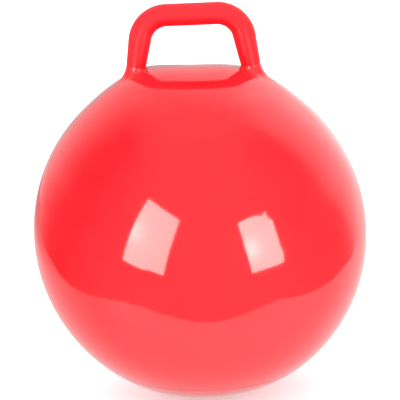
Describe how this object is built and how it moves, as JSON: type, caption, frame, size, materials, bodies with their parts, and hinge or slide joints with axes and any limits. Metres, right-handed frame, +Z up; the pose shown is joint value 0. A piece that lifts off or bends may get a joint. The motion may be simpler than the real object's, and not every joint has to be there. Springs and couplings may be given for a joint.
{
  "type": "hopper ball",
  "caption": "Inflated hopper ball with a D-shaped grip handle on top and a pull-out plug valve at the back.",
  "frame": {"origin": "centre of the flat contact patch under the ball, on the surface that it stands on", "axes": "+Z up through the middle of the handle, +X along the grip bar, -Y the front and +Y the valve's side"},
  "size_m": [0.45, 0.45, 0.5305],
  "materials": {
    "ball_pvc": "gloss soft PVC",
    "handle_pvc": "gloss soft PVC",
    "seat_pvc": "satin soft PVC",
    "plug_plastic": "satin polyethylene"
  },
  "bodies": {
    "ball": {"ball_skin": "ball_pvc", "handle": "handle_pvc", "valve_seat": "seat_pvc"},
    "plug": {"valve_plug": "plug_plastic"}
  },
  "joints": [
    {"name": "plug_pull", "type": "slide", "parent": "ball", "child": "plug", "axis": [0, 0.766, 0.6428], "range_m": [0, 0.035]}
  ]
}
